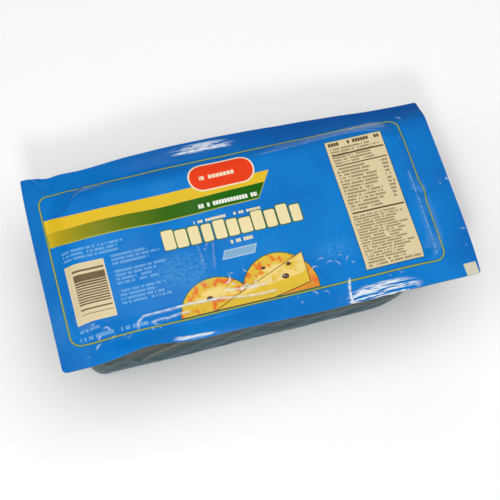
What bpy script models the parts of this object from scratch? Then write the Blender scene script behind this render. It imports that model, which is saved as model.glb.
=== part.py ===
"""Vacuum-packed mozzarella loaf, lying on its foot with the printed side up.

Metres, +Z up. +X runs along the pack and +Y towards its far long side. The
origin is the middle of the pack's outline, on the surface that it rests on.

Two films hold the loaf. The lower one is drawn down over it as a pouch, the
upper one lies over its top, and both are sealed together in a flat rim.
"""

import math

import bmesh
import bpy

# The sealed rim, at its outer edge
PACK_LENGTH = 0.3383
PACK_WIDTH = 0.1686
RIM_HEIGHT = 0.066
RIM_CORNER = 0.004
FRONT_RIGHT_TAPER = 0.0025
BACK_LEFT_TAPER = 0.0014

# The two films and the gap between them
LID_THICKNESS = 0.0006
SKIRT_THICKNESS = 0.0008
FILM_GAP = 0.0003

# The loaf's flat top, inside the crease that the upper film makes over it
LOAF_TOP = 0.072
TOP_LEFT = -0.139
TOP_RIGHT = 0.133
TOP_HALF_WIDTH = 0.054
TOP_CORNER = 0.014

# The pouch where it leaves the rim
ROOT_LEFT = -0.151
ROOT_RIGHT = 0.145
ROOT_HALF_WIDTH = 0.071
ROOT_CORNER = 0.016

# The pouch's walls where they turn in to the foot, and the foot that it stands on.
# The right end is rounder, the more so the lower it is.
WALL_LEFT = -0.149
WALL_RIGHT = 0.144
WALL_LEFT_CORNER = 0.015
WALL_WAVE = 0.008
WALL_WAVE_LENGTH = 0.095
FOOT_LEFT = -0.1425
FOOT_RIGHT = 0.1388
FOOT_HALF_WIDTH = 0.0682
FOOT_LEFT_CORNER = 0.009
FOOT_ROUNDING = 0.015
RIGHT_CORNER_LENGTH = 0.062
RIGHT_CORNER_WIDTH = 0.041

# How far in from the long edges the rim's bends reach
BEND_REACH = 0.026

# Bends of the rim's long edges: middle along X, half length, rise
FRONT_BENDS = (
    (-0.101, 0.026, 0.0095),
    (-0.036, 0.038, 0.0040),
    (0.098, 0.026, 0.0010),
    (0.045, 0.016, -0.0012),
)
BACK_BENDS = (
    (-0.147, 0.008, -0.0045),
    (-0.122, 0.022, -0.0040),
    (-0.030, 0.046, 0.0030),
)

# The front edge pulled in at its highest bend
FRONT_PULL_AT = -0.101
FRONT_PULL_REACH = 0.026
FRONT_PULL = 0.0020

# The far right corner, which hangs and draws in
DROOP_START = 0.010
DROOP = 0.0095
DROOP_PULL = 0.0024

# Cells along the long and the short sides, in half a corner and across each band
LONG_CELLS = 42
SHORT_CELLS = 18
CORNER_CELLS = 3
RIM_BANDS = 2
SHOULDER_BANDS = 3
WALL_BANDS = 4
ROUNDING_BANDS = 4

PRINT_BLUE = (0.0, 0.17, 0.58, 1.0)
POUCH_GREY = (0.10, 0.13, 0.14, 1.0)


def clear_scene():
    for item in list(bpy.data.objects):
        bpy.data.objects.remove(item, do_unlink=True)


def film_material(name, colour, roughness):
    material = bpy.data.materials.new(name)
    material.use_nodes = True
    shader = material.node_tree.nodes["Principled BSDF"]
    shader.inputs["Base Color"].default_value = colour
    shader.inputs["Roughness"].default_value = roughness
    shader.inputs["Metallic"].default_value = 0.0
    return material


def smooth_step(start, end, value):
    t = min(max((value - start) / (end - start), 0.0), 1.0)
    return t * t * (3.0 - 2.0 * t)


def swell(value, middle, reach):
    return math.exp(-(((value - middle) / reach) ** 2))


def blend(first, second, share):
    """The outline that lies this share of the way from one outline to another."""
    return [
        (ax + (bx - ax) * share, ay + (by - ay) * share)
        for (ax, ay), (bx, by) in zip(first, second)
    ]


def outline(left, right, half_width, left_corner, right_corner):
    """A rounded rectangle, anticlockwise from the middle of its front left corner.

    Each corner is a quarter of an ellipse, given by its length and its width.
    """
    sizes = (left_corner, right_corner, right_corner, left_corner)
    across = (left, right, right, left)
    along = (-half_width, -half_width, half_width, half_width)
    corners = []
    for i, (length, width) in enumerate(sizes):
        inward_x = length if across[i] == left else -length
        inward_y = width if along[i] < 0 else -width
        corners.append((across[i] + inward_x, along[i] + inward_y, length, width))

    def arc(corner, degrees):
        x, y, length, width = corner
        angle = math.radians(degrees)
        return x + length * math.cos(angle), y + width * math.sin(angle)

    points = []
    for side in range(4):
        cells = SHORT_CELLS if side % 2 else LONG_CELLS
        near, far = corners[side], corners[(side + 1) % 4]
        middle = 270 + 90 * side
        start, end = arc(near, middle), arc(far, middle)
        for i in range(cells):
            if i < CORNER_CELLS:
                points.append(arc(near, middle - 45 + 45 * i / CORNER_CELLS))
            elif i > cells - CORNER_CELLS:
                points.append(arc(far, middle + 45 - 45 * (cells - i) / CORNER_CELLS))
            else:
                share = (i - CORNER_CELLS) / (cells - 2 * CORNER_CELLS)
                points.extend(blend([start], [end], share))
    return points


def rim_outline():
    """The films' cut edge: nearly straight, pulled in where the rim bends."""
    half_length, half_width = PACK_LENGTH / 2, PACK_WIDTH / 2
    corner = (RIM_CORNER, RIM_CORNER)
    points = []
    for x, y in outline(-half_length, half_length, half_width, corner, corner):
        reach = abs(y) / half_width
        if y < 0:
            pull = FRONT_PULL * swell(x, FRONT_PULL_AT, FRONT_PULL_REACH)
            taper = FRONT_RIGHT_TAPER if x > 0 else 0.0
        else:
            pull = -DROOP_PULL * smooth_step(DROOP_START, half_length, x)
            taper = 0.0 if x > 0 else -BACK_LEFT_TAPER
        at_end = smooth_step(0.9, 1.0, abs(x) / half_length)
        points.append((x - taper * at_end * reach**4, y + pull * reach**2))
    return points


def root_outline():
    corner = (ROOT_CORNER, ROOT_CORNER)
    return outline(ROOT_LEFT, ROOT_RIGHT, ROOT_HALF_WIDTH, corner, corner)


def crease_outline():
    corner = (TOP_CORNER, TOP_CORNER)
    return outline(TOP_LEFT, TOP_RIGHT, TOP_HALF_WIDTH, corner, corner)


def wall_outline():
    left_corner = (WALL_LEFT_CORNER, WALL_LEFT_CORNER)
    right_corner = (RIGHT_CORNER_LENGTH, RIGHT_CORNER_WIDTH)
    points = outline(WALL_LEFT, WALL_RIGHT, ROOT_HALF_WIDTH, left_corner, right_corner)
    turn = 2 * math.pi / WALL_WAVE_LENGTH
    return [(x, y * (1.0 + WALL_WAVE * math.sin(x * turn))) for x, y in points]


def foot_outline():
    left_corner = (FOOT_LEFT_CORNER, FOOT_LEFT_CORNER)
    right_corner = (RIGHT_CORNER_LENGTH, RIGHT_CORNER_WIDTH)
    return outline(FOOT_LEFT, FOOT_RIGHT, FOOT_HALF_WIDTH, left_corner, right_corner)


def outside_top(x, y):
    """How far a point lies outside the loaf's flat top."""
    middle = (TOP_LEFT + TOP_RIGHT) / 2
    dx = abs(x - middle) - (TOP_RIGHT - TOP_LEFT) / 2 + TOP_CORNER
    dy = abs(y) - TOP_HALF_WIDTH + TOP_CORNER
    return math.hypot(max(dx, 0.0), max(dy, 0.0)) - TOP_CORNER


def lid_height(x, y):
    """The upper film's top face: flat over the loaf, sloped to the rim, and bent there."""
    half_width = PACK_WIDTH / 2
    slope = smooth_step(0.0, ROOT_HALF_WIDTH - TOP_HALF_WIDTH, outside_top(x, y))
    height = LOAF_TOP - (LOAF_TOP - RIM_HEIGHT) * slope
    bends = FRONT_BENDS if y < 0 else BACK_BENDS
    at_edge = smooth_step(half_width - BEND_REACH, half_width, abs(y))
    for middle, reach, rise in bends:
        height += rise * swell(x, middle, reach) * at_edge
    if y > 0:
        height -= DROOP * smooth_step(DROOP_START, PACK_LENGTH / 2, x) * at_edge
    return height


def fill_points(ring):
    """Rows of points that span a ring, blended between its four sides."""
    far_start = LONG_CELLS + SHORT_CELLS
    left_start = far_start + LONG_CELLS
    front = ring[: LONG_CELLS + 1]
    right = ring[LONG_CELLS : far_start + 1]
    back = ring[far_start : left_start + 1][::-1]
    left = (ring[left_start:] + ring[:1])[::-1]
    rows = []
    for j in range(SHORT_CELLS + 1):
        v = j / SHORT_CELLS
        row = []
        for i in range(LONG_CELLS + 1):
            u = i / LONG_CELLS
            row.append(
                tuple(
                    (1 - v) * front[i][k]
                    + v * back[i][k]
                    + (1 - u) * left[j][k]
                    + u * right[j][k]
                    - (1 - u) * (1 - v) * front[0][k]
                    - u * (1 - v) * front[-1][k]
                    - (1 - u) * v * back[0][k]
                    - u * v * back[-1][k]
                    for k in (0, 1)
                )
            )
        rows.append(row)
    return rows


def add_ring(bm, ring, height):
    return [bm.verts.new((x, y, height(x, y))) for x, y in ring]


def add_band(bm, outer, inner, faces_up):
    """A band of triangles between two rings, split alike on both faces of a film."""
    count = len(outer)
    for i in range(count):
        k = (i + 1) % count
        corners = (outer[i], outer[k], inner[k], inner[i])
        add_quad(bm, corners, faces_up)


def add_quad(bm, corners, faces_up):
    a, b, c, d = corners
    for triangle in ((a, b, c), (a, c, d)):
        bm.faces.new(triangle if faces_up else triangle[::-1])


def add_fill(bm, ring, edge, height, faces_up):
    """The grid inside a ring whose vertices are already there."""
    far_start = LONG_CELLS + SHORT_CELLS
    left_start = far_start + LONG_CELLS
    grid = []
    for j, row in enumerate(fill_points(ring)):
        line = []
        for i, (x, y) in enumerate(row):
            if j == 0:
                line.append(edge[i])
            elif j == SHORT_CELLS:
                line.append(edge[left_start - i])
            elif i == 0:
                line.append(edge[(left_start + SHORT_CELLS - j) % len(edge)])
            elif i == LONG_CELLS:
                line.append(edge[LONG_CELLS + j])
            else:
                line.append(bm.verts.new((x, y, height(x, y))))
        grid.append(line)
    for j in range(SHORT_CELLS):
        for i in range(LONG_CELLS):
            corners = (grid[j][i], grid[j][i + 1], grid[j + 1][i + 1], grid[j + 1][i])
            add_quad(bm, corners, faces_up)


def sheet_outlines():
    """The films' rings, from the cut edge over the rim and the shoulder to the crease."""
    edge, root, crease = rim_outline(), root_outline(), crease_outline()
    rings = [blend(edge, root, i / RIM_BANDS) for i in range(RIM_BANDS)]
    rings += [blend(root, crease, i / SHOULDER_BANDS) for i in range(SHOULDER_BANDS)]
    return rings + [crease]


def add_sheet(bm, drop, faces_up):
    """A whole film face that lies this far below the lid's top. Returns its outer ring."""
    def height(x, y):
        return lid_height(x, y) - drop

    outlines = sheet_outlines()
    rings = [add_ring(bm, ring, height) for ring in outlines]
    for outer, inner in zip(rings, rings[1:]):
        add_band(bm, outer, inner, faces_up)
    add_fill(bm, outlines[-1], rings[-1], height, faces_up)
    return rings[0]


def make_object(name, bm, material):
    mesh = bpy.data.meshes.new(name)
    bm.to_mesh(mesh)
    bm.free()
    mesh.materials.append(material)
    mesh.shade_smooth()
    mesh.set_sharp_from_angle(angle=math.radians(40))
    bpy.context.scene.collection.objects.link(bpy.data.objects.new(name, mesh))


def make_lid_film():
    """The printed upper film, out to the rim's cut edge."""
    bm = bmesh.new()
    top_edge = add_sheet(bm, 0.0, faces_up=True)
    under_edge = add_sheet(bm, LID_THICKNESS, faces_up=False)
    add_band(bm, under_edge, top_edge, faces_up=True)
    make_object("lid_film", bm, film_material("printed_film", PRINT_BLUE, 0.25))


def add_pouch_wall(bm, root_points, root_ring):
    """Walls from the rim's root down to the rounded foot. Returns the foot's ring."""
    wall, foot = wall_outline(), foot_outline()
    upper = root_ring
    for band in range(1, WALL_BANDS + 1):
        share = band / WALL_BANDS
        lower = [
            bm.verts.new((x, y, top.co.z + (FOOT_ROUNDING - top.co.z) * share))
            for (x, y), top in zip(blend(root_points, wall, share**2), root_ring)
        ]
        add_band(bm, upper, lower, faces_up=False)
        upper = lower
    for band in range(1, ROUNDING_BANDS + 1):
        angle = math.pi / 2 * band / ROUNDING_BANDS
        z = FOOT_ROUNDING * (1.0 - math.sin(angle)) if band < ROUNDING_BANDS else 0.0
        ring = blend(wall, foot, 1.0 - math.cos(angle))
        lower = [bm.verts.new((x, y, z)) for x, y in ring]
        add_band(bm, upper, lower, faces_up=False)
        upper = lower
    return upper


def make_base_pouch():
    """The loaf in its drawn lower film, with the skirt that is sealed under the lid."""
    bm = bmesh.new()
    top_drop = LID_THICKNESS + FILM_GAP
    skirt_drop = top_drop + SKIRT_THICKNESS
    top_edge = add_sheet(bm, top_drop, faces_up=True)

    outlines = sheet_outlines()[: RIM_BANDS + 1]
    rings = [add_ring(bm, ring, lambda x, y: lid_height(x, y) - skirt_drop) for ring in outlines]
    add_band(bm, rings[0], top_edge, faces_up=True)
    for outer, inner in zip(rings, rings[1:]):
        add_band(bm, outer, inner, faces_up=False)
    foot_ring = add_pouch_wall(bm, outlines[-1], rings[-1])
    bm.faces.new(foot_ring[::-1])
    make_object("base_pouch", bm, film_material("pouch_film", POUCH_GREY, 0.2))


clear_scene()
make_lid_film()
make_base_pouch()
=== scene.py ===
"""The looks of a vacuum-packed mozzarella loaf: printed lid film, drawn pouch, light and camera.

Metres, +Z up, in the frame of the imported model. The print is laid out in millimetres on
the flat film, in a UV map of its own, so that it follows every crease.
"""

import math

import bpy
import numpy as np
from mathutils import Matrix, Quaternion, Vector


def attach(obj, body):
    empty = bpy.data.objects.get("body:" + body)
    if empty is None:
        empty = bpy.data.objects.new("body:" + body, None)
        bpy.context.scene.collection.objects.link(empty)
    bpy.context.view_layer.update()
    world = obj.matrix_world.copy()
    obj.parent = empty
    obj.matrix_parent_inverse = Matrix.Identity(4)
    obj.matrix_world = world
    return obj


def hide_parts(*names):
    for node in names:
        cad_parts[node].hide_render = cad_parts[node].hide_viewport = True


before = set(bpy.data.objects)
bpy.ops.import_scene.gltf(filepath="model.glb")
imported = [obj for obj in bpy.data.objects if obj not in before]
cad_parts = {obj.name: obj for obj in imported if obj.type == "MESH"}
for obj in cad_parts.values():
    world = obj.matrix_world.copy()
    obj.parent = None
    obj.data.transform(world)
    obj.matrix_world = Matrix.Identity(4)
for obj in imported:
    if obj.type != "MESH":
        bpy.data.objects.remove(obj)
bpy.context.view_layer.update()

MM = 0.001

# The films' sizes and bends, as in the solids
HALF_LENGTH = 0.3383 / 2
HALF_WIDTH = 0.1686 / 2
RIM_HEIGHT = 0.066
FRONT_RIGHT_TAPER = 0.0025
BACK_LEFT_TAPER = 0.0014
LOAF_TOP = 0.072
TOP_LEFT = -0.139
TOP_RIGHT = 0.133
TOP_HALF_WIDTH = 0.054
TOP_CORNER = 0.014
ROOT_LEFT = -0.151
ROOT_RIGHT = 0.145
ROOT_HALF_WIDTH = 0.071
ROOT_CORNER = 0.016
WALL_LEFT = -0.149
WALL_RIGHT = 0.144
WALL_LEFT_CORNER = 0.015
WALL_WAVE = 0.008
WALL_WAVE_LENGTH = 0.095
FOOT_LEFT = -0.1425
FOOT_RIGHT = 0.1388
FOOT_HALF_WIDTH = 0.0682
FOOT_LEFT_CORNER = 0.009
FOOT_ROUNDING = 0.015
RIGHT_CORNER_LENGTH = 0.062
RIGHT_CORNER_WIDTH = 0.041
BEND_REACH = 0.026
FRONT_BENDS = (
    (-0.101, 0.026, 0.0095),
    (-0.036, 0.038, 0.0040),
    (0.098, 0.026, 0.0010),
    (0.045, 0.016, -0.0012),
)
BACK_BENDS = (
    (-0.147, 0.008, -0.0045),
    (-0.122, 0.022, -0.0040),
    (-0.030, 0.046, 0.0030),
)
FRONT_PULL_AT = -0.101
FRONT_PULL_REACH = 0.026
FRONT_PULL = 0.0020
DROOP_START = 0.010
DROOP = 0.0095
DROOP_PULL = 0.0024

# The visible films are thinner than their solids, and lie closer together
FILM_THICKNESS = 0.0005
FILM_STEP = 0.0006
LID_COLUMNS = 222
LID_ROWS = 111
SKIRT_COLUMNS = 170
SKIRT_ROWS = 86
CREASE_CUTS = 2
CREASE_MARGIN = 2.6
# Whitening along the creases, with a painted highlight, and how far it reaches
CREASE_GLINT_WHITE = 1.5
CREASE_GLINT_REACH = 0.78

# The cut corners' radii: front left, front right, back left, back right
CUT_CORNERS = (0.0038, 0.0014, 0.0012, 0.0022)

# Creases of the lid film, in mm: route, rise, reach to its left and right, and whitening with a
# painted highlight along the crease, which below 0 is painted shade along the crease instead
CREASES = (
    (((-118, 71), (-125.8, 63.9), (-132, 56.7), (-141.8, 47), (-152, 46)), -1.2, 1.8, 3.6, -0.35),
    (((-159, 86), (-154.5, 77), (-150, 70)), -1.0, 2.0, 3.5, 0),
    (((169, 4), (160, -0.5), (145, -6), (130, -2)), -0.9, 2.0, 2.0, 0),
    (((132, 53), (135, 41), (137, 30), (137, 14)), -0.5, 1.5, 3.0, 0),
    (((16, 58), (46, 58.7), (75, 60.5), (105, 60.5), (134, 55)), 0.55, 4.5, 1.6, 0.12),
    (((-106, -67), (-105, -60), (-99.9, -56.3), (-89.4, -56), (-72, -55.8)), 0.9, 1.0, 1.2, 0.6),
    (((-78, -55.9), (-62, -55.3), (-47.1, -56.2), (-33.6, -57.2)), 1.1, 1.0, 1.2, 0.9),
    (((-40, -56.7), (-20.5, -59.4), (-7.3, -60.2), (8, -60)), 0.8, 1.1, 1.4, 0.5),
    (((-37, -51.6), (-26.2, -52.3), (-11.2, -53.9), (2, -53)), 0.9, 1.2, 1.5, 0.7),
    (((-97, -62.5), (-89, -61.3), (-81.8, -61.7), (-72, -60.6), (-62, -61)), 0.9, 1.0, 1.2, 0.5),
    (((36, -54), (55, -54), (72, -52.5), (82, -51)), -0.9, 1.8, 2.2, 0),
    (((64, -63), (61.6, -71.5), (60.9, -77.2), (60.3, -86)), 0.9, 0.9, 1.2, 1.1),
    (((-46, -6), (-44.5, -16), (-44.5, -30)), 0.6, 1.3, 1.0, 0.12),
    (((-32, -6), (-34.5, -18), (-36.5, -32)), 0.5, 1.2, 1.2, 0.12),
    (((-82, -79.6), (-68.6, -80.8), (-50, -81.9)), 0.8, 0.9, 1.1, 0.7),
    (((-46, 75.6), (-20, 76.2), (7, 74.6)), 0.7, 1.0, 1.2, 0.7),
)

# Small puckers of the lid film, in mm: place, reach, rise, and whitening with a painted highlight
PUCKERS = (
    (-40.5, -13.5, 1.3, 0.8, 0.55),
    (-38.0, -9.5, 1.0, 0.6, 0.4),
    (-44.5, -22.0, 1.0, 0.4, 0.2),
    (-136.0, -63.3, 1.2, 0.8, 0.6),
    (-128.8, -57.9, 1.2, 0.7, 0.5),
    (-138.9, -69.7, 1.3, 0.6, 0.7),
    (-136.8, -68.0, 1.1, 0.6, 0.6),
    (-138.5, -53.0, 1.1, 0.5, 0.4),
    (-126.2, -65.8, 1.0, 0.6, 0.4),
    (-147.8, -76.2, 1.3, 0.5, 0.3),
    (-117.4, -66.5, 1.0, 0.5, 0.4),
    (-113.6, -69.1, 1.0, 0.5, 0.3),
    (-99.8, -61.4, 1.2, 0.7, 0.6),
    (-95.1, -66.7, 1.2, 0.7, 0.6),
    (-89.2, -67.4, 1.2, 0.7, 0.6),
    (-92.0, -64.0, 1.0, 0.6, 0.5),
    (-28.6, -44.4, 1.8, 0.9, 0.9),
    (-27.0, -47.6, 1.6, 0.9, 0.9),
    (-25.5, -38.5, 1.1, 0.6, 0.5),
    (-20.0, -53.2, 1.6, 0.7, 0.9),
    (67.8, 62.5, 1.0, 0.6, 0.7),
    (104.7, 63.7, 1.0, 0.6, 0.8),
    (148.0, 67.6, 1.0, 0.5, 0.5),
    (141.4, 46.1, 1.0, 0.5, 0.5),
    (61.5, -44.5, 1.2, 0.7, 0.4),
    (58.0, -50.0, 1.4, 0.7, 0.35),
    (66.0, -48.0, 1.2, 0.6, 0.35),
    (70.0, -52.5, 1.2, 0.6, 0.35),
    (46.0, -43.5, 1.3, 0.7, 0.4),
    (52.0, -47.5, 1.3, 0.6, 0.35),
    (38.0, -49.4, 1.3, 0.8, 0.6),
    (-31.5, -50.3, 1.3, 0.7, 0.5),
    (-25.0, -48.6, 1.1, 0.7, 0.5),
    (-16.0, -51.0, 1.6, 0.9, 0.7),
    (-9.5, -51.0, 1.5, 0.9, 0.7),
    (-15.0, -38.8, 1.2, 0.6, 0.4),
    (1.0, -35.0, 1.2, 0.6, 0.35),
    (3.0, -51.5, 1.2, 0.7, 0.5),
    (13.0, -49.8, 1.2, 0.7, 0.5),
    (161.2, -0.7, 1.1, 0.7, 0.7),
    (167.6, 2.1, 1.2, 0.7, 0.9),
    (166.0, -43.7, 1.1, 0.5, 0.5),
    (163.5, -58.2, 0.9, 0.5, 0.4),
    (35.1, -68.1, 1.0, 0.5, 0.5),
    (20.5, -68.9, 1.0, 0.5, 0.4),
    (22.6, -73.6, 1.1, 0.5, 0.5),
    (96.2, -68.9, 0.9, 0.5, 0.5),
    (105.3, -68.6, 0.9, 0.5, 0.5),
    (44.0, -69.5, 1.1, 0.5, 0.3),
)

# Patches of streaks along the rim, raised in the relief and painted white as highlights, in mm:
# middle, half length, half width, strength
STREAK_GLINT_PATCHES = (
    ((88.0, -80.0), (29.0, 8.4), 1.6),
    ((66.0, -83.0), (8.0, 4.0), 1.6),
    ((-66.0, -81.2), (17.0, 1.8), 0.9),
    ((-20.0, 78.0), (27.0, 4.2), 0.75),
)

# Patches where the film over the loaf is scuffed under a painted sheen of reflected light, in mm:
# middle, half length, half width
SCUFF_SHEEN_PATCHES = (
    ((-60.0, -26.0), (27.0, 19.0)),
    ((58.0, -38.0), (19.0, 10.0)),
)
SCUFF_SHEEN_STRENGTH = 0.5

# The pouch's body: points along each side and in half a corner, and rings in each stretch
LONG_POINTS = 168
SHORT_POINTS = 72
CORNER_POINTS = 12
CAP_RINGS = 5
FLARE_RINGS = 6
WALL_RINGS = 30
ROUNDING_RINGS = 12
FOOT_RINGS = 8
CAP_DROP = 0.0022
FLARE = 0.0035

# Pleats at the pouch's ends: how many in a full turn, and their depth in mm
WIDE_PLEATS = 19.0
NARROW_PLEATS = 33.0
PLEAT_DEPTH = 0.7

# Creases of the pouch's front wall, in mm along X and up: route, rise, reach above and below
WALL_CREASES = (
    (((-116, 20), (-107, 18.5), (-102, 23), (-97, 27.5), (-85, 33), (-74, 40)), 1.3, 4.0, 1.2),
    (((-139, 26), (-118, 24), (-100, 14), (-88, 5)), 0.5, 3.0, 3.0),
    (((-60, 30), (-38, 27), (-16, 23), (-4, 16), (4, 6)), 0.7, 5.0, 2.5),
    (((8, 34), (18, 28), (40, 24), (66, 26)), 0.6, 3.0, 3.5),
    (((58, 44), (72, 30), (80, 16)), 0.6, 3.5, 2.5),
)

# The camera, fitted to the photograph
CAMERA_AZIMUTH = -21.079
CAMERA_ELEVATION = 65.002
CAMERA_ROLL = 6.119
CAMERA_DISTANCE = 1.1302
CAMERA_TARGET = (0.00598, 0.00853, 0.0)
CAMERA_LENS = 96.42
CAMERA_SENSOR = 36.0

# Studio lights: name, place, size, power, and whether glossy surfaces mirror them
LIGHT_AIM = (0.0, 0.0, 0.05)
LIGHTS = (
    ("key", (-0.26, -0.92, 0.92), (0.22, 0.22), 5.0, True),
    ("left_fill", (-1.25, -0.02, 0.95), (0.9, 0.9), 3.6, True),
    ("right_fill", (1.3, 0.15, 0.95), (0.9, 0.9), 3.0, True),
    ("overhead", (0.02, 0.42, 1.3), (0.3, 0.2), 0.2, True),
    ("back", (0.45, 1.25, 0.75), (0.8, 0.5), 2.5, False),
    ("canopy", (0.0, 0.0, 1.7), (2.8, 2.8), 28.0, False),
)
WORLD_STRENGTH = 0.11
FLOOR_SIZE = 12.0
FLOOR_WHITE = (0.98, 0.98, 0.98, 1.0)


def colour(red, green, blue):
    """A colour given in steps from 0 to 255, as the linear colour that nodes take."""
    def linear(step):
        share = step / 255
        return share / 12.92 if share <= 0.04045 else ((share + 0.055) / 1.055) ** 2.4

    return (linear(red), linear(green), linear(blue), 1.0)


BLUE = colour(0, 123, 204)
BLUE_DEEP = colour(0, 112, 194)
YELLOW = colour(226, 188, 36)
STRIPE_STOPS = (
    (0.0, colour(206, 170, 32)),
    (0.12, colour(150, 144, 20)),
    (0.30, colour(104, 120, 14)),
    (0.52, colour(52, 102, 8)),
    (0.80, colour(26, 98, 6)),
)
STRIPE_EDGE = colour(170, 175, 60)
FRAME_LINE = colour(158, 168, 74)
FRAME_EDGE = colour(10, 74, 78)
CREAM = colour(236, 220, 170)
OUTLINE_GREEN = colour(52, 98, 52)
BADGE_RED = colour(232, 60, 18)
BADGE_CREAM = colour(240, 222, 190)
STROKE_WHITE = colour(235, 238, 225)
LABEL_BLUE = colour(128, 170, 204)
LABEL_EDGE = colour(176, 200, 220)
PANEL_BEIGE = colour(218, 202, 160)
PANEL_BROWN = colour(92, 64, 40)
STROKE_BROWN = colour(124, 102, 68)
STROKE_BLUE = colour(140, 190, 226)
PICTURE_YELLOW = colour(222, 186, 56)
PICTURE_CREAM = colour(236, 208, 122)
PICTURE_ORANGE = colour(226, 112, 40)
PICTURE_BROWN = colour(84, 60, 46)
MARK_WHITE = colour(208, 203, 180)
# Whitened film and painted highlights: pale marks on creases, puckers and streaks
WHITENED_AND_HIGHLIGHT = colour(228, 236, 240)
SCUFF_SHEEN_BLUE = colour(84, 168, 222)
# Painted shade: a darker blue laid over the lid where shade falls
PAINTED_SHADE_BLUE = colour(0, 76, 150)
POUCH_TEAL = colour(40, 84, 98)
# Painted shade: olive for the pouch wall under the rim
POUCH_SHADE_OLIVE = colour(62, 68, 54)
POUCH_PALE = colour(92, 112, 116)
# Painted highlight: a tan line on one crease of the pouch
POUCH_HIGHLIGHT_TAN = colour(168, 154, 126)


# Strokes: how thick and wide they are within their row and step, and how ragged the rows are
STROKE_MIDDLE = 0.45
STROKE_EDGES = (0.36, 0.24)
STROKE_HALF_WIDTH = 0.42
STROKE_GAPS = 0.17
ROW_SHIFT = 57.3
SHORTEST_ROW = 0.65

# The stripes: each edge is a slope and a height where they start, and they bend at their left.
# These and all the sizes of the print below are in mm
STRIPE_START = -158.0
STRIPE_LEFT = -157.2
STRIPE_RIGHT = 27.5
STRIPE_SLANT = 0.62
STRIPE_SLANT_FROM = 42.4
STRIPE_TOP = (0.006, 41.3)
STRIPE_MIDDLE = (0.0233, 28.7)
STRIPE_BOTTOM = (0.0183, 16.9)
STRIPE_EDGE_WIDTH = 0.9
STRIPE_SIDE_WIDTH = 0.7
STRIPE_BEND_AT = -139.0
STRIPE_BEND_REACH = 15.0
STRIPE_BEND = 2.9
HUMP_AT = 42.0
HUMP_REACH = 54.0
HUMP_RISE = 1.4
GREEN_LENGTH = 185.0

# The line round the print: middle, half size and corner, and the dent at its right
LINE_BOX = ((-6.7, 0.0), (151.15, 65.9), 8.5)
LINE_EDGE = 0.85
LINE_HALF_WIDTH = 0.5
DENT_AT = -4.0
DENT_REACH = 9.0
DENT_PUSH = 1.7

# The row of tiles; a row of strokes is its left, right, low and high, rows, step and seed
TILE_START = -71.0
TILE_PITCH = 10.4
TILE_FOOT = -7.4
TILE_HALF_WIDTH = 4.9
TILE_HALF_HEIGHT = 6.4
TILE_GROWTH = 2.4
TILE_NARROWING = 1.1
TILE_CORNER = 1.6
TILE_BORDER = 0.9
TILE_HEIGHT_SEED = 6.0
TILE_WIDTH_SEED = 40.0
TILE_ROW = (-13.8, 57.2)
TILE_STROKES = (
    (-43, 22, 9.4, 13.2, 1, 2.1, 5.0),
    (-25, 4, -14.4, -9.6, 1, 2.1, 9.0),
)

# The badge and the label: middle, half size and corner
BADGE_BOX = ((-10.6, 48.4), (27.4, 12.4), 12.0)
BADGE_BORDER = 1.3
BADGE_STROKES = (-29, 14, 45.5, 51.0, 1, 3.1, 12.0)
STRIPE_STROKES = (-36, 22, 21.2, 27.2, 1, 2.4, 31.0)
LABEL_BOX = ((-14.2, -22.0), (13.2, 3.8))
LABEL_SLANT = 0.45
LABEL_BORDER = 0.8

# The picture: the rounds and the holes as middle and half size, and the wedge over the rounds,
# whose edges are a slope and a height where it starts
PICTURE_FOOT = -65.0
ROUNDS = (
    ((9.0, -64.0), (31.0, 35.0)),
    ((-42.0, -70.0), (31.0, 32.0)),
)
ROUND_BORDER = 0.7
CRUST_WIDTH = 7.0
WEDGE_START = -26.0
WEDGE_RIGHT = 33.0
WEDGE_TOP = (0.40, -57.0)
WEDGE_CUT = (0.13, -59.0)
WEDGE_LIFT_FROM = 2.0
WEDGE_LIFT = 0.16
WEDGE_BORDER = 0.6
PICTURE_HOLES = (
    ((-47.0, -55.0), (2.6, 2.0)),
    ((15.0, -51.0), (2.9, 2.2)),
    ((0.0, -40.0), (1.8, 1.3)),
    ((20.0, -41.5), (2.0, 1.5)),
)

# The two beige panels: middle and half size, and bars for each mm
PANEL_BORDER = 0.5
BAR_PANEL = ((-134.4, -25.6), (15.5, 24.6))
BAR_FIELD = ((-132.6, -25.2), (12.4, 18.8))
THIN_BARS = 0.46
THIN_BAR_GAP = 0.42
THICK_BARS = 1.35
THICK_BARS_FOOT = -19.5
BAR_STRENGTH = 0.9
TALL_PANEL = ((102.4, -3.2), (24.4, 58.3))
PANEL_MARGIN = 2.0
PANEL_HEADING = (80.5, 144.0, 49.2, 54.6, 1, 2.3, 71.0)
PANEL_STROKES = (
    (81, 126, 33.2, 48.8, 6, 1.15, 21.0),
    (81, 118, -10.5, 30.5, 14, 1.15, 27.0),
    (119, 125, -6.0, 30.5, 11, 1.15, 33.0),
    (81, 126, -60.0, -14.4, 19, 1.15, 37.0),
)
PANEL_STRENGTH = 0.85
PANEL_BARS = ((41.0, 42.4), (31.4, 32.4), (-13.2, -11.8))
PANEL_BAR_REACH = (103.4, 21.8)

# Pale strokes on the blue; one block is split in three, and the last row runs along Y
SPLIT_STROKES = (-113, -70, -43.5, 0.9, 13, 1.2, 54.0)
SPLIT_GAPS = (-11.1, -28.1)
SPLIT_HALF_GAP = 1.7
PALE_STROKES = (
    (-150.5, -88, 2.4, 12.8, 3, 1.2, 51.0),
    SPLIT_STROKES,
    (-150.5, -70, -63.6, -59.0, 1, 1.8, 66.0),
    (-149.5, -130, -57.0, -53.6, 1, 1.2, 68.0),
)
PALE_STRENGTH = 0.55
END_STROKES = (-60, 14, 137.0, 139.2, 1, 1.3, 77.0)
END_STRENGTH = 0.5

# The square mark on the rim: middle and half size
MARK_BOX = ((160.6, -79.2), (5.1, 5.4))


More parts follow.
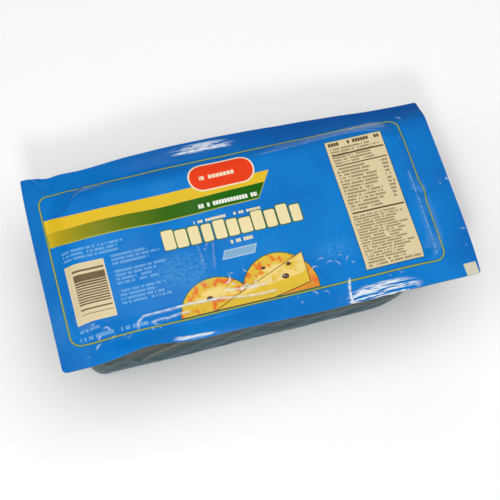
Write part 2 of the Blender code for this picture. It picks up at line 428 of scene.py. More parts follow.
class Value:
    """A number or colour that varies over a surface. Sums on numbers add Math nodes."""

    def __init__(self, tree, socket):
        self.tree = tree
        self.socket = socket

    @classmethod
    def node(cls, tree, kind, settings=None, sockets=None, output=0):
        """Adds any node: its settings first, then the values or links of its sockets."""
        made = tree.nodes.new(kind)
        for name, setting in (settings or {}).items():
            if name == "stops":
                ramp = made.color_ramp
                while len(ramp.elements) < len(setting):
                    ramp.elements.new(1.0)
                for element, (place, shade) in zip(ramp.elements, setting):
                    element.position = place
                    element.color = shade
            else:
                setattr(made, name, setting)
        for name, value in (sockets or {}).items():
            if isinstance(value, Value):
                tree.links.new(value.socket, made.inputs[name])
            else:
                made.inputs[name].default_value = value
        return cls(tree, made.outputs[output] if made.outputs else None)

    def math(self, operation, *others):
        sockets = dict(enumerate((self, *others)))
        return Value.node(self.tree, "ShaderNodeMath", {"operation": operation}, sockets)

    def __add__(self, other):
        return self.math("ADD", other)

    __radd__ = __add__

    def __sub__(self, other):
        return self.math("SUBTRACT", other)

    def __rsub__(self, other):
        sockets = {0: other, 1: self}
        return Value.node(self.tree, "ShaderNodeMath", {"operation": "SUBTRACT"}, sockets)

    def __mul__(self, other):
        return self.math("MULTIPLY", other)

    __rmul__ = __mul__

    def __truediv__(self, other):
        return self.math("DIVIDE", other)

    def __abs__(self):
        return self.math("ABSOLUTE")

    def __gt__(self, other):
        return self.math("GREATER_THAN", other)

    def __lt__(self, other):
        return self.math("LESS_THAN", other)

    def floor(self):
        return self.math("FLOOR")

    def fraction(self):
        return self.math("FRACT")

    def larger(self, other):
        return self.math("MAXIMUM", other)

    def smaller(self, other):
        return self.math("MINIMUM", other)

    def fit(self, low, high):
        """Runs smoothly from 0 to 1 while the value runs from low to high."""
        settings = {"interpolation_type": "SMOOTHSTEP"}
        sockets = {0: self, 1: low, 2: high}
        return Value.node(self.tree, "ShaderNodeMapRange", settings, sockets)


def mix(mask, under, over):
    """Lays one colour over another where the mask is 1."""
    settings = {"data_type": "RGBA"}
    return Value.node(mask.tree, "ShaderNodeMix", settings, {0: mask, 6: under, 7: over}, 2)


def hypotenuse(x, y):
    return (x * x + y * y).math("SQRT")


def stretched(place, scale):
    """A texture place, drawn out or pressed together along each axis."""
    return Value.node(place.tree, "ShaderNodeMapping", None, {"Vector": place, "Scale": scale})


def noise(place, scale, detail=2.0):
    sockets = {"Vector": place, "Scale": scale, "Detail": detail}
    return Value.node(place.tree, "ShaderNodeTexNoise", None, sockets)


def random_step(value):
    """One random number from 0 to 1 for each whole step of the value."""
    settings = {"noise_dimensions": "1D"}
    return Value.node(value.tree, "ShaderNodeTexWhiteNoise", settings, {"W": value})


def inside(distance, soft=0.15):
    """1 where the distance to a shape's edge is below 0, with a soft edge."""
    return distance.fit(soft, -soft)


def box(x, y, middle, half, corner=0.0):
    """How far outside a rectangle with round corners a place on the print lies."""
    dx = abs(x - middle[0]) - (half[0] - corner)
    dy = abs(y - middle[1]) - (half[1] - corner)
    if not corner:
        return dx.larger(dy)
    return hypotenuse(dx.larger(0.0), dy.larger(0.0)) - corner


def oval(x, y, middle, half):
    """Roughly how far outside an ellipse a place on the print lies."""
    sides = hypotenuse((x - middle[0]) / half[0], (y - middle[1]) / half[1])
    return (sides - 1.0) * min(half)


def stroke_rows(x, y, left, right, low, high, rows, length, seed):
    """Rows of short strokes, ragged at their right end."""
    place = (y - low) * (rows / (high - low))
    row = place.floor()
    thick = abs(place.fraction() - STROKE_MIDDLE).fit(*STROKE_EDGES)
    step = x * (1.0 / length) + row * ROW_SHIFT
    shown = random_step(step.floor() + seed) > STROKE_GAPS
    shown = shown * (abs(step.fraction() - 0.5) < STROKE_HALF_WIDTH)
    width = right - left
    end = random_step(row + seed) * ((1.0 - SHORTEST_ROW) * width) + (left + SHORTEST_ROW * width)
    across = (x > left) * (x < end)
    along = (y > low) * (y < high)
    return thick * shown * across * along


def outlined(under, distance, fill, edge, width):
    """A shape in one colour with a border of another."""
    bordered = mix(inside(distance), under, edge)
    return mix(inside(distance + width), bordered, fill)


def print_stripes(paint, x, y):
    """The yellow and the green stripe, which end in a slant."""
    y = y - (x - STRIPE_BEND_AT).fit(0.0, -STRIPE_BEND_REACH) * STRIPE_BEND
    run = x - STRIPE_START
    off = (run - HUMP_AT) / HUMP_REACH
    hump = (HUMP_RISE - off * off * HUMP_RISE).larger(0.0)
    hump = hump * hump
    top = run * STRIPE_TOP[0] + STRIPE_TOP[1]
    middle = run * STRIPE_MIDDLE[0] + hump + STRIPE_MIDDLE[1]
    bottom = run * STRIPE_BOTTOM[0] + hump + STRIPE_BOTTOM[1]
    slant = x + (STRIPE_SLANT_FROM - y) * STRIPE_SLANT - STRIPE_RIGHT
    span = (x * -1.0 + STRIPE_LEFT).larger(slant)
    share = run / GREEN_LENGTH
    green = Value.node(x.tree, "ShaderNodeValToRGB", {"stops": STRIPE_STOPS}, {0: share})
    edge = span.larger(y - middle).larger(bottom - STRIPE_EDGE_WIDTH - y)
    paint = mix(inside(edge), paint, STRIPE_EDGE)
    lower = (span + STRIPE_SIDE_WIDTH).larger(y - middle).larger(bottom - y)
    paint = mix(inside(lower), paint, green)
    return mix(inside(span.larger(y - top).larger(middle - y)), paint, YELLOW)


def print_frame(paint, x, y):
    """The line round the print, with thin dark edges, out of true where the film is dented."""
    dent = (y - DENT_AT) / DENT_REACH
    push = (1.0 - dent * dent).larger(0.0) * DENT_PUSH * (x > 0.0)
    distance = abs(box(x - push, y, *LINE_BOX))
    paint = mix(inside(distance - LINE_EDGE), paint, FRAME_EDGE)
    return mix(inside(distance - LINE_HALF_WIDTH), paint, FRAME_LINE)


def print_tiles(paint, x, y):
    """A row of cream tiles of mixed heights, and a thin row of strokes above and below it."""
    step = (x - TILE_START) / TILE_PITCH
    place = (step.fraction() - 0.5) * TILE_PITCH
    tall = random_step(step.floor() + TILE_HEIGHT_SEED)
    narrow = random_step(step.floor() + TILE_WIDTH_SEED) * TILE_NARROWING
    half = tall * TILE_GROWTH
    dx = abs(place) + narrow - (TILE_HALF_WIDTH - TILE_CORNER)
    dy = abs(y - TILE_FOOT - TILE_HALF_HEIGHT - half) - (half + (TILE_HALF_HEIGHT - TILE_CORNER))
    tile = hypotenuse(dx.larger(0.0), dy.larger(0.0)) - TILE_CORNER
    beyond = abs(x - TILE_ROW[0]) - TILE_ROW[1]
    paint = mix(inside((tile - TILE_BORDER).larger(beyond)), paint, OUTLINE_GREEN)
    paint = mix(inside(tile.larger(beyond)), paint, CREAM)
    for rows in TILE_STROKES:
        paint = mix(stroke_rows(x, y, *rows), paint, CREAM)
    return paint


def print_badge(paint, x, y):
    """A red badge with a cream border, and strokes on it and on the green stripe."""
    paint = outlined(paint, box(x, y, *BADGE_BOX), BADGE_RED, BADGE_CREAM, BADGE_BORDER)
    paint = mix(stroke_rows(x, y, *BADGE_STROKES), paint, BADGE_CREAM)
    return mix(stroke_rows(x, y, *STRIPE_STROKES), paint, STROKE_WHITE)


def print_label(paint, x, y):
    """The small pale label with slanted ends."""
    middle, half = LABEL_BOX
    label = box(x - (y - middle[1]) * LABEL_SLANT, y, middle, half)
    return outlined(paint, label, LABEL_BLUE, LABEL_EDGE, LABEL_BORDER)


def cheese_round(paint, x, y, mottle, middle, half, above):
    """One baked round, seen from above: a mottled crust and a paler middle."""
    edge = oval(x, y, middle, half).larger(above)
    lit = (y - x * 0.3).fit(middle[1] - half[1], middle[1] + half[1])
    crust = mix(lit, PICTURE_ORANGE, PICTURE_YELLOW)
    crust = mix(mottle.fit(0.50, 0.62), crust, PICTURE_ORANGE)
    face = mix(mottle.fit(0.46, 0.66), PICTURE_CREAM, PICTURE_YELLOW)
    face = mix(mottle.fit(0.60, 0.68), face, PICTURE_ORANGE)
    paint = mix(inside(edge), paint, OUTLINE_GREEN)
    paint = mix(inside(edge + ROUND_BORDER), paint, crust)
    return mix((edge + CRUST_WIDTH + mottle * 4.0).fit(1.5, -1.5), paint, face)


def print_picture(paint, x, y, place):
    """Two rounds of cheese and a wedge, cut off by the frame."""
    above = PICTURE_FOOT - y
    mottle = noise(place, 0.15, 4.0)
    for middle, half in ROUNDS:
        paint = cheese_round(paint, x, y, mottle, middle, half, above)
    lower = (x - WEDGE_LIFT_FROM) * WEDGE_LIFT + PICTURE_FOOT - y
    along = x - WEDGE_START
    upper = y - WEDGE_TOP[1] - along * WEDGE_TOP[0]
    wedge = lower.larger(upper).larger(x - WEDGE_RIGHT).larger(above)
    paint = mix(inside(wedge), paint, PICTURE_BROWN)
    paint = mix(inside(wedge + WEDGE_BORDER), paint, PICTURE_YELLOW)
    cut_face = wedge.larger(along * WEDGE_CUT[0] + WEDGE_CUT[1] - y) + WEDGE_BORDER
    cut_paint = mix(mottle.fit(0.45, 0.65), PICTURE_CREAM, PICTURE_YELLOW)
    paint = mix(inside(cut_face), paint, cut_paint)
    for middle, half in PICTURE_HOLES:
        paint = mix(inside(oval(x, y, middle, half)), paint, PICTURE_BROWN)
    return paint


def print_bars(paint, x, y):
    """A beige panel with plain bars: thick ones at its top, regular thin ones below."""
    paint = outlined(paint, box(x, y, *BAR_PANEL), PANEL_BEIGE, CREAM, PANEL_BORDER)
    row = y * THIN_BARS
    thin = (row.fraction() > THIN_BAR_GAP) * (random_step(row.floor() + 3.0) > 0.1)
    thick = (random_step((y * THICK_BARS).floor() + 11.0) > 0.22) * (y > THICK_BARS_FOOT)
    middle, half = BAR_FIELD
    reach = abs(x - middle[0]) < half[0]
    height = abs(y - middle[1]) < half[1]
    return mix(thin.larger(thick) * reach * height * BAR_STRENGTH, paint, PANEL_BROWN)


def print_tall_panel(paint, x, y):
    """The tall beige panel with three dark bars, and rows of strokes between them."""
    panel = box(x, y, *TALL_PANEL)
    paint = outlined(paint, panel, PANEL_BEIGE, FRAME_EDGE, PANEL_BORDER)
    heading = stroke_rows(x, y, *PANEL_HEADING)
    paint = mix(heading * inside(panel + PANEL_MARGIN), paint, PANEL_BROWN)
    for rows in PANEL_STROKES:
        paint = mix(stroke_rows(x, y, *rows) * PANEL_STRENGTH, paint, STROKE_BROWN)
    for low, high in PANEL_BARS:
        bar = abs(x - PANEL_BAR_REACH[0]) < PANEL_BAR_REACH[1]
        paint = mix(bar * (y > low) * (y < high), paint, PANEL_BROWN)
    return paint


def print_pale_strokes(paint, x, y):
    """Pale strokes beside the two beige panels."""
    for rows in PALE_STROKES:
        small = stroke_rows(x, y, *rows)
        if rows == SPLIT_STROKES:
            for middle in SPLIT_GAPS:
                small = small * (abs(y - middle) > SPLIT_HALF_GAP)
        paint = mix(small * PALE_STRENGTH, paint, STROKE_BLUE)
    return mix(stroke_rows(y, x, *END_STROKES) * END_STRENGTH, paint, STROKE_BLUE)


def print_mark(paint, x, y):
    """The white square at the rim's front right corner."""
    return mix(inside(box(x, y, *MARK_BOX)), paint, MARK_WHITE)


def streaks_and_glints(x, y, place):
    """Where the rim's film is drawn into streaks, in relief and painted white as highlights, 0 to
    1.
    """
    drawn = noise(stretched(place, (0.035, 0.5, 1.0)), 1.0, 4.0)
    broken = noise(stretched(place, (0.10, 0.28, 1.0)), 1.0, 3.0)
    total = None
    for middle, half, strength in STREAK_GLINT_PATCHES:
        patch = oval(x, y, middle, half).fit(min(half) * 0.15, -min(half) * 0.5) * strength
        total = patch if total is None else total + patch
    crest = drawn.fit(0.46, 0.51) * (1.0 - drawn.fit(0.60, 0.66))
    return crest * total.smaller(1.0) * broken.fit(0.34, 0.46)


def scuffs_and_sheen(x, y, grain):
    """Where the film over the loaf is scuffed and a painted sheen lies on it, from 0 to 1."""
    total = None
    for middle, half in SCUFF_SHEEN_PATCHES:
        patch = oval(x, y, middle, half).fit(3.0, -12.0)
        total = patch if total is None else total.larger(patch)
    return total * grain.fit(0.30, 0.72)


def film_relief(x, y, place, streaked_and_glinting):
    """Fine ribs along the sealed rim, drawn streaks, and soft unevenness everywhere."""
    along_x = noise(stretched(place, (0.012, 0.55, 1.0)), 1.0, 3.0)
    along_y = noise(stretched(place, (0.55, 0.012, 1.0)), 1.0, 3.0)
    long_rim = abs(y).fit(66.0, 70.0)
    end_rim = abs(x + 6.0).fit(149.0, 153.0)
    ribs = along_x * long_rim + along_y * end_rim * (1.0 - long_rim)
    uneven = noise(place, 0.11, 4.0)
    return ribs * 0.5 + uneven * 0.8 + streaked_and_glinting * 0.7


def printed_film():
    """The lid's print, with painted shade and highlights, under an even gloss with a fine relief.
    """
    material = bpy.data.materials.new("printed_film")
    material.use_nodes = True
    tree = material.node_tree
    tree.nodes.clear()
    place = Value.node(tree, "ShaderNodeUVMap", {"uv_map": "print"})
    x = Value.node(tree, "ShaderNodeSeparateXYZ", None, {0: place}, "X")
    y = Value.node(tree, "ShaderNodeSeparateXYZ", None, {0: place}, "Y")
    paint = mix(noise(place, 0.02, 3.0).fit(0.35, 0.65), BLUE_DEEP, BLUE)
    # Painted shade: darker towards the back right, where the rim droops, and towards both rim ends
    paint = mix(y.fit(44.0, 84.0) * x.fit(-260.0, 110.0), paint, PAINTED_SHADE_BLUE)
    paint = mix(abs(x).fit(140.0, 190.0) * 0.5, paint, PAINTED_SHADE_BLUE)
    paint = print_stripes(paint, x, y)
    paint = print_frame(paint, x, y)
    paint = print_tiles(paint, x, y)
    paint = print_badge(paint, x, y)
    paint = print_label(paint, x, y)
    paint = print_picture(paint, x, y, place)
    paint = print_bars(paint, x, y)
    paint = print_tall_panel(paint, x, y)
    paint = print_pale_strokes(paint, x, y)
    paint = print_mark(paint, x, y)
    streaked_and_glinting = streaks_and_glints(x, y, place)
    worn_and_painted_light = Value.node(tree, "ShaderNodeAttribute", {"attribute_name": "whitened"}, None, "Fac")
    grain = noise(place, 0.36, 5.0)
    # Painted shade along the creases whose whitening is below 0
    paint = mix((worn_and_painted_light * -1.0).larger(0.0), paint, PAINTED_SHADE_BLUE)
    # Scuffs with a painted sheen of reflected light: a paler blue over the film
    paint = mix(scuffs_and_sheen(x, y, grain) * SCUFF_SHEEN_STRENGTH, paint, SCUFF_SHEEN_BLUE)
    # Whitened film with painted highlights on creases, puckers and streaks
    whitening_and_painted_light = streaked_and_glinting + worn_and_painted_light * grain.fit(0.30, 0.47)
    paint = mix(whitening_and_painted_light.larger(0.0).smaller(0.97), paint, WHITENED_AND_HIGHLIGHT)
    relief = film_relief(x, y, place, streaked_and_glinting)
    sockets = {"Height": relief, "Distance": 0.0005, "Strength": 0.5}
    bump = Value.node(tree, "ShaderNodeBump", None, sockets)
    sockets = {"Base Color": paint, "Roughness": 0.19, "IOR": 1.42, "Normal": bump}
    surface = Value.node(tree, "ShaderNodeBsdfPrincipled", None, sockets)
    Value.node(tree, "ShaderNodeOutputMaterial", None, {"Surface": surface})
    return material


def pouch_film():
    """Tinted film drawn tight over the loaf: paler where it clings, painted olive shade under the
    rim.
    """
    material = bpy.data.materials.new("pouch_film")
    material.use_nodes = True
    tree = material.node_tree
    tree.nodes.clear()
    place = Value.node(tree, "ShaderNodeTexCoord", None, None, "Object")
    height = Value.node(tree, "ShaderNodeSeparateXYZ", None, {0: place}, "Z")
    clings = noise(stretched(place, (1.0, 1.0, 2.5)), 38.0, 4.0)
    folds = noise(stretched(place, (0.4, 0.4, 2.0)), 120.0, 3.0)
    # Painted shade: olive higher up the wall, under the rim's overhang
    paint = mix((height + clings * 0.034).fit(0.022, 0.058), POUCH_TEAL, POUCH_SHADE_OLIVE)
    paint = mix(clings.fit(0.50, 0.75) * 0.35, paint, POUCH_PALE)
    highlight_mask = Value.node(tree, "ShaderNodeAttribute", {"attribute_name": "pale_crease"}, None, "Fac")
    # Painted highlight: a tan line along the front wall's long crease
    paint = mix(highlight_mask * 0.75, paint, POUCH_HIGHLIGHT_TAN)
    sockets = {"Height": clings + folds * 0.3, "Distance": 0.001, "Strength": 0.4}
    bump = Value.node(tree, "ShaderNodeBump", None, sockets)
    sockets = {"Base Color": paint, "Roughness": 0.3, "IOR": 1.32, "Normal": bump}
    surface = Value.node(tree, "ShaderNodeBsdfPrincipled", None, sockets)
    Value.node(tree, "ShaderNodeOutputMaterial", None, {"Surface": surface})
    return material


def smooth_step(start, end, value):
    t = np.clip((value - start) / (end - start), 0.0, 1.0)
    return t * t * (3.0 - 2.0 * t)


def swell(value, middle, reach):
    return np.exp(-(((value - middle) / reach) ** 2))


def lid_height(x, y):
    """The lid film's height, as in its solid: over the loaf, down its shoulder, out to the rim."""
    middle = (TOP_LEFT + TOP_RIGHT) / 2
    dx = np.abs(x - middle) - (TOP_RIGHT - TOP_LEFT) / 2 + TOP_CORNER
    dy = np.abs(y) - TOP_HALF_WIDTH + TOP_CORNER
    outside = np.hypot(np.maximum(dx, 0.0), np.maximum(dy, 0.0)) - TOP_CORNER
    slope = smooth_step(0.0, ROOT_HALF_WIDTH - TOP_HALF_WIDTH, outside)
    height = LOAF_TOP - (LOAF_TOP - RIM_HEIGHT) * slope
    at_edge = smooth_step(HALF_WIDTH - BEND_REACH, HALF_WIDTH, np.abs(y))
    for bends, side in ((FRONT_BENDS, y < 0), (BACK_BENDS, y >= 0)):
        for middle, reach, rise in bends:
            height += rise * swell(x, middle, reach) * at_edge * side
    return height - DROOP * smooth_step(DROOP_START, HALF_LENGTH, x) * at_edge * (y > 0)


def near_route(points, x, y):
    """Distance to a route, on which side of it, and how far along it from 0 to 1."""
    points = np.array(points, float)
    steps = np.diff(points, axis=0)
    lengths = np.hypot(steps[:, 0], steps[:, 1])
    starts = np.concatenate(([0.0], np.cumsum(lengths)))
    best = np.full(x.shape, np.inf)
    side = np.zeros(x.shape)
    share = np.zeros(x.shape)
    for (px, py), (sx, sy), size, start in zip(points, steps, lengths, starts):
        t = np.clip(((x - px) * sx + (y - py) * sy) / size**2, 0.0, 1.0)
        gap_x, gap_y = x - px - t * sx, y - py - t * sy
        gap = np.hypot(gap_x, gap_y)
        closer = gap < best
        best = np.where(closer, gap, best)
        side = np.where(closer, sx * gap_y - sy * gap_x, side)
        share = np.where(closer, (start + t * size) / starts[-1], share)
    return best, side, share


def creased(x, y):
    """The lid film's creases and puckers at places in mm: their rise, and their whitening with
    painted highlights, which is painted shade where below 0.
    """
    rise = np.zeros(x.shape)
    whitening_and_painted_light = np.zeros(x.shape)
    for points, height, left, right, worn_and_painted_light in CREASES:
        gap, side, share = near_route(points, x, y)
        reach = np.where(side > 0, left, right)
        fade = smooth_step(0.0, 0.15, share) * smooth_step(1.0, 0.85, share)
        rise += height * np.exp(-((gap / reach) ** 1.6)) * fade
        broken = 0.8 + 0.2 * np.sin(x * 0.71 + y * 0.53)
        whitening_and_painted_light += CREASE_GLINT_WHITE * worn_and_painted_light * swell(gap, 0.0, CREASE_GLINT_REACH) * fade * broken
    for px, py, reach, height, worn_and_painted_light in PUCKERS:
        turn = 0.9 * math.sin(px * 1.7 + py)
        u = (x - px) * math.cos(turn) + (y - py) * math.sin(turn)
        v = (y - py) * math.cos(turn) - (x - px) * math.sin(turn)
        v = v + 0.25 * u**2 / reach * math.cos(px * 2.3)
        length = reach * (1.2 + 0.8 * math.cos(px + py * 1.9))
        rise += height * np.exp(-((u / length) ** 2) - (v / reach / 0.7) ** 2)
        # Painted highlight: a thin white glint on each pucker
        whitening_and_painted_light += 1.3 * worn_and_painted_light * np.exp(-((u / length) ** 2) - (v / reach / 0.36) ** 2)
    return rise, np.clip(whitening_and_painted_light, -0.5, 1.7)


def near_creases(x, y):
    """Which places in mm lie close to a crease or a pucker, where the film needs finer faces."""
    near = np.zeros(x.shape, bool)
    for points, *_ in CREASES:
        near |= near_route(points, x, y)[0] < CREASE_MARGIN
    for px, py, *_ in PUCKERS:
        near |= np.hypot(x - px, y - py) < CREASE_MARGIN
    return near


def sagging(x, y):
    """Broad, shallow unevenness of the film over the loaf."""
    sag = 0.35 * np.sin(x * 41.0 + 0.8) * np.sin(y * 52.0 + 0.3)
    sag += 0.22 * np.sin(x * 83.0 + y * 61.0 + 1.7)
    sag += 0.12 * np.sin(x * 171.0 - y * 120.0 + 0.5)
    return sag * MM


def to_rim(x, y):
    """Moves the places of a plain rectangle so that its edge becomes the rim's cut edge."""
    front_left, front_right, back_left, back_right = CUT_CORNERS
    radius = np.where(
        y < 0, np.where(x < 0, front_left, front_right), np.where(x < 0, back_left, back_right)
    )
    dx = np.abs(x) - (HALF_LENGTH - radius)
    dy = np.abs(y) - (HALF_WIDTH - radius)
    corner = (dx > 0) & (dy > 0)
    size = np.hypot(dx, dy) + 1e-12
    pull = np.where(corner, np.maximum(dx, dy) / size, 1.0)
    x = np.where(corner, np.sign(x) * (HALF_LENGTH - radius + dx * pull), x)
    y = np.where(corner, np.sign(y) * (HALF_WIDTH - radius + dy * pull), y)
    reach = np.abs(y) / HALF_WIDTH
    front = FRONT_PULL * swell(x, FRONT_PULL_AT, FRONT_PULL_REACH)
    back = -DROOP_PULL * smooth_step(DROOP_START, HALF_LENGTH, x)
    near_edge = smooth_step(ROOT_HALF_WIDTH, HALF_WIDTH, np.abs(y))
    taper = np.where(y < 0, FRONT_RIGHT_TAPER * (x > 0), -BACK_LEFT_TAPER * (x < 0))
    at_end = smooth_step(0.9, 1.0, np.abs(x) / HALF_LENGTH)
    return x - taper * at_end * reach**4, y + np.where(y < 0, front, back) * near_edge


def deselect_all():
    bpy.ops.object.select_all(action="DESELECT")


def apply_modifiers(piece):
    bpy.context.view_layer.objects.active = piece
    for modifier in list(piece.modifiers):
        bpy.ops.object.modifier_apply(modifier=modifier.name)


def vertex_places(mesh):
    places = np.empty(len(mesh.vertices) * 3)
    mesh.vertices.foreach_get("co", places)
    return places.reshape(-1, 3)


def refine_creases(piece):
    """Cuts the faces near the creases finer."""
    mesh = piece.data
    places = vertex_places(mesh)
    near = near_creases(places[:, 0] * HALF_LENGTH / MM, places[:, 1] * HALF_WIDTH / MM)
    bpy.context.tool_settings.mesh_select_mode = (False, False, True)
    bpy.ops.object.mode_set(mode="EDIT")
    bpy.ops.mesh.select_all(action="DESELECT")
    bpy.ops.object.mode_set(mode="OBJECT")
    for face in mesh.polygons:
        face.select = any(near[i] for i in face.vertices)
    bpy.ops.object.mode_set(mode="EDIT")
    bpy.ops.mesh.subdivide(number_cuts=CREASE_CUTS)
    bpy.ops.object.mode_set(mode="OBJECT")


def film_sheet(name, columns, rows, drop, fine):
    """A grid over the whole pack, shaped as a film that lies this far below the lid's top."""
    deselect_all()
    bpy.ops.mesh.primitive_grid_add(x_subdivisions=columns, y_subdivisions=rows, size=2.0)
    piece = bpy.context.object
    piece.name = name
    if fine:
        refine_creases(piece)
    mesh = piece.data
    places = vertex_places(mesh)
    x, y = to_rim(places[:, 0] * HALF_LENGTH, places[:, 1] * HALF_WIDTH)
    flat = np.stack((x, y), axis=1) / MM
    rise, whitening_and_painted_light = creased(flat[:, 0], flat[:, 1])
    z = lid_height(x, y) + sagging(x, y) + rise * MM - drop
    mesh.vertices.foreach_set("co", np.stack((x, y, z), axis=1).ravel())
    corners = np.empty(len(mesh.loops), int)
    mesh.loops.foreach_get("vertex_index", corners)
    layer = mesh.uv_layers[0] if mesh.uv_layers else mesh.uv_layers.new()
    layer.name = "print"
    layer.data.foreach_set("uv", flat[corners].ravel())
    # Whitening of the creased film with painted highlights, and painted shade where below 0
    worn_and_painted_light = mesh.attributes.new("whitened", "FLOAT", "POINT")
    worn_and_painted_light.data.foreach_set("value", whitening_and_painted_light)
    mesh.update()
    solid = piece.modifiers.new("thickness", "SOLIDIFY")
    solid.thickness = FILM_THICKNESS
    solid.offset = -1.0
    apply_modifiers(piece)
    bpy.ops.object.shade_smooth_by_angle(angle=math.radians(50))
    return piece


def make_lid(material):
    """The printed film."""
    lid = film_sheet("lid_film_printed", LID_COLUMNS, LID_ROWS, 0.0, True)
    lid.data.materials.append(material)
    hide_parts("lid_film")
    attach(lid, "root")


def make_skirt(material):
    """The lower film where it is sealed under the lid's rim."""
    skirt = film_sheet("pouch_skirt", SKIRT_COLUMNS, SKIRT_ROWS, FILM_STEP, False)
    skirt.data.materials.append(material)
    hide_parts("base_pouch")
    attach(skirt, "root")


def outline(left, right, half_width, left_corner, right_corner):
    """A rounded rectangle, anticlockwise from the middle of its front left corner.

    Each corner is a quarter of an ellipse, given by its length and its width.
    """
    sides = ((left, -1, *left_corner), (right, -1, *right_corner))
    sides += ((right, 1, *right_corner), (left, 1, *left_corner))
    corners = []
    for end, side, length, width in sides:
        inward = length if end == left else -length
        corners.append((end + inward, side * (half_width - width), length, width))

    def arc(corner, degrees):
        angle = np.radians(degrees)
        x, y, length, width = corner
        return np.stack((x + length * np.cos(angle), y + width * np.sin(angle)), axis=-1)

    points = []
    for side in range(4):
        count = SHORT_POINTS if side % 2 else LONG_POINTS
        near, far = corners[side], corners[(side + 1) % 4]
        middle = 270 + 90 * side
        turn = np.arange(CORNER_POINTS) * 45 / CORNER_POINTS
        share = np.linspace(0.0, 1.0, count - 2 * CORNER_POINTS + 1)[:, None]
        points.append(arc(near, middle - 45 + turn))
        points.append(arc(near, middle) * (1 - share) + arc(far, middle) * share)
        points.append(arc(far, middle + turn[1:]))
    return np.concatenate(points)


def blend(first, second, share):
    return first + (second - first) * share


def pouch_rings():
    """The pouch body's rings of places, from under the lid down to the middle of its foot."""
    left_corner = (WALL_LEFT_CORNER, WALL_LEFT_CORNER)
    right_corner = (RIGHT_CORNER_LENGTH, RIGHT_CORNER_WIDTH)
    root_corner = (ROOT_CORNER, ROOT_CORNER)
    top = outline(TOP_LEFT, TOP_RIGHT, TOP_HALF_WIDTH, *((TOP_CORNER, TOP_CORNER),) * 2)
    root = outline(ROOT_LEFT, ROOT_RIGHT, ROOT_HALF_WIDTH, root_corner, root_corner)
    middle = (ROOT_LEFT + ROOT_RIGHT) / 2
    flare = np.array([FLARE / (ROOT_RIGHT - middle), FLARE / ROOT_HALF_WIDTH])
    brim = root + (root - [middle, 0.0]) * flare
    wall = outline(WALL_LEFT, WALL_RIGHT, ROOT_HALF_WIDTH, left_corner, right_corner)
    foot_corner = (FOOT_LEFT_CORNER, FOOT_LEFT_CORNER)
    foot = outline(FOOT_LEFT, FOOT_RIGHT, FOOT_HALF_WIDTH, foot_corner, right_corner)
    turn = 2 * math.pi / WALL_WAVE_LENGTH
    wall[:, 1] *= 1.0 + WALL_WAVE * np.sin(wall[:, 0] * turn)
    rings = []

    def add(places, heights):
        rings.append(np.column_stack((places, np.broadcast_to(heights, len(places)))))

    for i in range(CAP_RINGS):
        places = blend(top, brim, i / CAP_RINGS)
        add(places, lid_height(places[:, 0], places[:, 1]) - CAP_DROP)
    brim_height = lid_height(brim[:, 0], brim[:, 1]) - FILM_STEP - FILM_THICKNESS / 2
    for i in range(FLARE_RINGS):
        angle = math.pi / 2 * i / FLARE_RINGS
        places = blend(brim, root, math.sin(angle))
        add(places, brim_height - FLARE * (1.0 - math.cos(angle)))
    start = brim_height - FLARE
    for i in range(WALL_RINGS):
        share = i / WALL_RINGS
        add(blend(root, wall, share**2), start + (FOOT_ROUNDING - start) * share)
    for i in range(ROUNDING_RINGS):
        angle = math.pi / 2 * i / ROUNDING_RINGS
        places = blend(wall, foot, 1.0 - math.cos(angle))
        add(places, FOOT_ROUNDING * (1.0 - math.sin(angle)))
    for i in range(FOOT_RINGS + 1):
        add(foot * (1.0 - 0.9 * i / FOOT_RINGS), 0.0)
    return np.array(rings)


def drawn_film(places):
    """How far the drawn film stands out from the loaf's plain side, in metres."""
    x, y, z = places[..., 0] / MM, places[..., 1] / MM, places[..., 2] / MM
    front = smooth_step(-60.0, -66.0, y)
    rise = np.zeros(x.shape)
    for points, height, above, below in WALL_CREASES:
        gap, side, share = near_route(points, x, z)
        reach = np.where(side > 0, above, below)
        fade = smooth_step(0.0, 0.12, share) * smooth_step(1.0, 0.88, share)
        rise += height * np.exp(-((gap / reach) ** 1.5)) * fade * front
    around = np.arctan2(y, x - np.clip(x, -80.0, 80.0) * 0.9)
    end = smooth_step(105.0, 138.0, np.abs(x + 2.0))
    pleats = np.sin(around * WIDE_PLEATS + z * 0.05) * 0.5
    pleats += np.sin(around * NARROW_PLEATS - z * 0.08 + 2.0) * 0.35
    rise += pleats * end * smooth_step(4.0, 22.0, z) * PLEAT_DEPTH
    rise += 0.30 * np.sin(x * 0.083 + z * 0.21 + 1.1) * np.sin(x * 0.041 - z * 0.17)
    rise += 0.20 * np.sin(x * 0.19 + y * 0.23 - z * 0.33 + 0.4)
    rise += 0.12 * np.sin(x * 0.47 - y * 0.31 + z * 0.9)
    free = smooth_step(0.0, 5.0, z) * smooth_step(63.0, 56.0, z)
    return rise * free * MM


def pale_crease(places):
    """Where a painted highlight runs along the front wall's long crease, from 0 to 1."""
    x, y, z = places[..., 0] / MM, places[..., 1] / MM, places[..., 2] / MM
    gap, _, share = near_route(WALL_CREASES[0][0], x, z)
    fade = smooth_step(0.15, 0.4, share) * smooth_step(1.0, 0.85, share)
    return swell(gap, 0.0, 1.2) * fade * smooth_step(-60.0, -66.0, y)


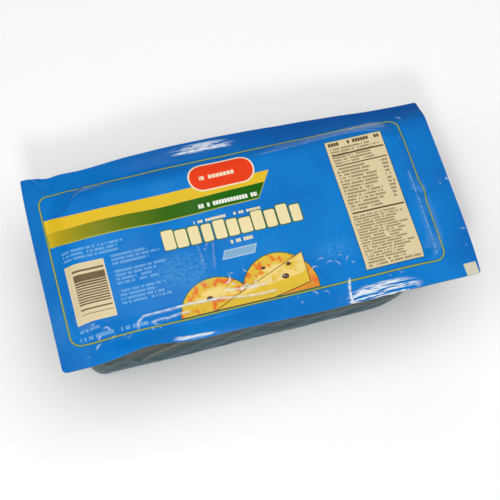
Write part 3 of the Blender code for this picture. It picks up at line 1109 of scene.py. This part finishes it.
def make_pouch(material):
    """The drawn film round the loaf: a ringed drum, drawn over the loaf's outlines."""
    rings = pouch_rings()
    ring_count, point_count = rings.shape[:2]
    deselect_all()
    depth = float(ring_count - 1)
    bpy.ops.mesh.primitive_cylinder_add(
        vertices=point_count, radius=1.0, depth=depth, end_fill_type="NGON"
    )
    pouch = bpy.context.object
    pouch.name = "pouch_body"
    bpy.context.tool_settings.mesh_select_mode = (False, True, False)
    bpy.ops.object.mode_set(mode="EDIT")
    bpy.ops.mesh.select_all(action="DESELECT")
    bpy.ops.object.mode_set(mode="OBJECT")
    mesh = pouch.data
    for edge in mesh.edges:
        low, high = (mesh.vertices[i].co.z for i in edge.vertices)
        edge.select = abs(high - low) > 1.0
    bpy.ops.object.mode_set(mode="EDIT")
    bpy.ops.mesh.subdivide(number_cuts=ring_count - 2)
    bpy.ops.object.mode_set(mode="OBJECT")

    places = vertex_places(mesh)
    ring = np.rint(depth / 2 - places[:, 2]).astype(int)
    turns = np.arctan2(places[:, 1], places[:, 0]) / (2 * math.pi)
    point = np.rint(turns * point_count).astype(int) % point_count
    shaped = rings[ring, point]
    outward = np.roll(rings, -1, axis=1) - np.roll(rings, 1, axis=1)
    outward = np.stack((outward[..., 1], -outward[..., 0]), axis=-1)
    outward /= np.linalg.norm(outward, axis=-1, keepdims=True)
    shaped[:, :2] += outward[ring, point] * drawn_film(shaped)[:, None]
    mesh.vertices.foreach_set("co", shaped.ravel())
    highlight_layer = mesh.attributes.new("pale_crease", "FLOAT", "POINT")
    highlight_layer.data.foreach_set("value", pale_crease(shaped))
    mesh.update()
    bpy.ops.object.shade_smooth_by_angle(angle=math.radians(60))
    pouch.data.materials.append(material)
    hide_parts("base_pouch")
    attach(pouch, "root")


def make_floor():
    deselect_all()
    bpy.ops.mesh.primitive_plane_add(size=FLOOR_SIZE)
    floor = bpy.context.object
    floor.name = "floor"
    material = bpy.data.materials.new("floor_white")
    material.use_nodes = True
    tree = material.node_tree
    tree.nodes.clear()
    sockets = {"Base Color": FLOOR_WHITE, "Roughness": 0.9}
    surface = Value.node(tree, "ShaderNodeBsdfPrincipled", None, sockets)
    Value.node(tree, "ShaderNodeOutputMaterial", None, {"Surface": surface})
    floor.data.materials.append(material)


def make_camera():
    azimuth, elevation = math.radians(CAMERA_AZIMUTH), math.radians(CAMERA_ELEVATION)
    back = Vector(
        (
            math.sin(azimuth) * math.cos(elevation),
            -math.cos(azimuth) * math.cos(elevation),
            math.sin(elevation),
        )
    )
    data = bpy.data.cameras.new("camera")
    data.lens = CAMERA_LENS
    data.sensor_width = CAMERA_SENSOR
    camera = bpy.data.objects.new("camera", data)
    camera.location = Vector(CAMERA_TARGET) + back * CAMERA_DISTANCE
    camera.rotation_mode = "QUATERNION"
    roll = Quaternion((0.0, 0.0, 1.0), math.radians(CAMERA_ROLL))
    camera.rotation_quaternion = (-back).to_track_quat("-Z", "Y") @ roll
    bpy.context.scene.collection.objects.link(camera)
    bpy.context.scene.camera = camera


def area_light(name, place, size, power, mirrored):
    """A rectangular light aimed at the pack, which glossy surfaces mirror or don't."""
    data = bpy.data.lights.new(name, "AREA")
    data.shape = "RECTANGLE"
    data.size, data.size_y = size
    data.energy = power
    light = bpy.data.objects.new(name, data)
    light.location = place
    light.rotation_mode = "QUATERNION"
    aim = Vector(LIGHT_AIM) - Vector(place)
    light.rotation_quaternion = aim.to_track_quat("-Z", "Y")
    light.visible_camera = False
    light.visible_glossy = mirrored
    bpy.context.scene.collection.objects.link(light)


def make_light():
    for light in LIGHTS:
        area_light(*light)
    world = bpy.data.worlds.new("studio")
    world.use_nodes = True
    background = world.node_tree.nodes["Background"]
    background.inputs["Color"].default_value = (1.0, 1.0, 1.0, 1.0)
    background.inputs["Strength"].default_value = WORLD_STRENGTH
    bpy.context.scene.world = world
    bpy.context.scene.view_settings.view_transform = "Standard"


make_camera()
make_light()
make_floor()
make_lid(printed_film())
film = pouch_film()
make_skirt(film)
make_pouch(film)
